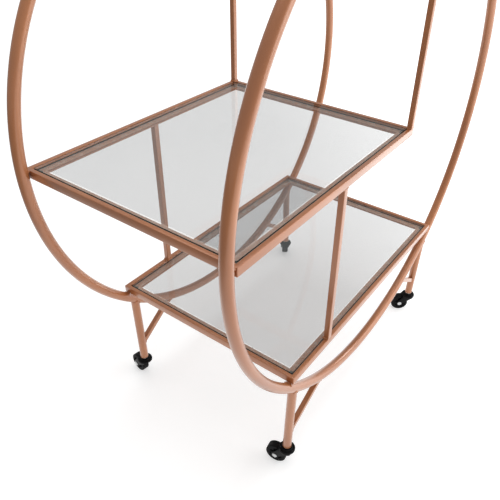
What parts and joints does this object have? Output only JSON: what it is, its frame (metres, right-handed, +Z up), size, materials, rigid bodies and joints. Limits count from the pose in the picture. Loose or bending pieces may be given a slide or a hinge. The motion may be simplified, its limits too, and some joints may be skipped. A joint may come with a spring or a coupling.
{
  "type": "bar cart",
  "caption": "Bar cart with round-tube hoops at front and back, glazed shelves between them, and braced legs on swivel casters.",
  "frame": {"origin": "on the floor, under the middle of the cart's box", "axes": "+X along the hoops, towards the open end of the middle shelf; +Y from the front hoop to the rear one; +Z up"},
  "size_m": [0.7758, 0.3718, 0.8699],
  "materials": {
    "rose_gold": "satin rose-gold metallic lacquer",
    "glass": "clear float glass with polished green edges",
    "bumper": "matt black pads",
    "tyre": "black moulded wheel with a soft satin tread",
    "caster_black": "black gloss powder coat",
    "bright_steel": "zinc-plated steel"
  },
  "bodies": {
    "root": {"front_hoop": "rose_gold", "front_left_brace": "rose_gold", "front_left_caster_stem": "bright_steel", "front_left_leg": "rose_gold", "front_mid_post": "rose_gold", "front_right_brace": "rose_gold", "front_right_caster_stem": "bright_steel", "front_right_leg": "rose_gold", "front_upper_post": "rose_gold", "lower_bumper_front_left": "bumper", "lower_bumper_front_right": "bumper", "lower_bumper_rear_left": "bumper", "lower_bumper_rear_right": "bumper", "lower_front_rail": "rose_gold", "lower_glass": "glass", "lower_left_rail": "rose_gold", "lower_rear_rail": "rose_gold", "lower_right_rail": "rose_gold", "middle_bumper_front_left": "bumper", "middle_bumper_front_right": "bumper", "middle_bumper_rear_left": "bumper", "middle_bumper_rear_right": "bumper", "middle_front_rail": "rose_gold", "middle_glass": "glass", "middle_left_rail": "rose_gold", "middle_rear_rail": "rose_gold", "middle_right_rail": "rose_gold", "rear_hoop": "rose_gold", "rear_left_brace": "rose_gold", "rear_left_caster_stem": "bright_steel", "rear_left_leg": "rose_gold", "rear_mid_post": "rose_gold", "rear_right_brace": "rose_gold", "rear_right_caster_stem": "bright_steel", "rear_right_leg": "rose_gold", "rear_upper_post": "rose_gold", "top_bumper_front_left": "bumper", "top_bumper_front_right": "bumper", "top_bumper_rear_left": "bumper", "top_bumper_rear_right": "bumper", "top_front_rail": "rose_gold", "top_glass": "glass", "top_left_rail": "rose_gold", "top_rear_rail": "rose_gold", "top_right_rail": "rose_gold"},
    "front_left_swivel_body": {"front_left_caster_fork": "caster_black", "front_left_axle": "bright_steel"},
    "front_left_wheel_body": {"front_left_wheel": "tyre"},
    "front_right_swivel_body": {"front_right_caster_fork": "caster_black", "front_right_axle": "bright_steel"},
    "front_right_wheel_body": {"front_right_wheel": "tyre"},
    "rear_left_swivel_body": {"rear_left_caster_fork": "caster_black", "rear_left_axle": "bright_steel"},
    "rear_left_wheel_body": {"rear_left_wheel": "tyre"},
    "rear_right_swivel_body": {"rear_right_caster_fork": "caster_black", "rear_right_axle": "bright_steel"},
    "rear_right_wheel_body": {"rear_right_wheel": "tyre"}
  },
  "joints": [
    {"name": "front_left_swivel", "type": "hinge", "parent": "root", "child": "front_left_swivel_body", "pos_m": [-0.237, -0.17203, 0.0175], "axis": [0, 0, 1], "continuous": true},
    {"name": "front_left_wheel_spin", "type": "hinge", "parent": "front_left_swivel_body", "child": "front_left_wheel_body", "pos_m": [-0.23966, -0.15524, 0.0175], "axis": [-0.9877, -0.1564, 0], "continuous": true},
    {"name": "front_right_swivel", "type": "hinge", "parent": "root", "child": "front_right_swivel_body", "pos_m": [0.237, -0.17203, 0.0175], "axis": [0, 0, 1], "continuous": true},
    {"name": "front_right_wheel_spin", "type": "hinge", "parent": "front_right_swivel_body", "child": "front_right_wheel_body", "pos_m": [0.22725, -0.1581, 0.0175], "axis": [-0.8192, -0.5736, 0], "continuous": true},
    {"name": "rear_left_swivel", "type": "hinge", "parent": "root", "child": "rear_left_swivel_body", "pos_m": [-0.237, 0.15097, 0.0175], "axis": [0, 0, 1], "continuous": true},
    {"name": "rear_left_wheel_spin", "type": "hinge", "parent": "rear_left_swivel_body", "child": "rear_left_wheel_body", "pos_m": [-0.23434, 0.16776, 0.0175], "axis": [-0.9877, 0.1564, 0], "continuous": true},
    {"name": "rear_right_swivel", "type": "hinge", "parent": "root", "child": "rear_right_swivel_body", "pos_m": [0.237, 0.15097, 0.0175], "axis": [0, 0, 1], "continuous": true},
    {"name": "rear_right_wheel_spin", "type": "hinge", "parent": "rear_right_swivel_body", "child": "rear_right_wheel_body", "pos_m": [0.25075, 0.16097, 0.0175], "axis": [-0.5878, 0.809, 0], "continuous": true}
  ]
}
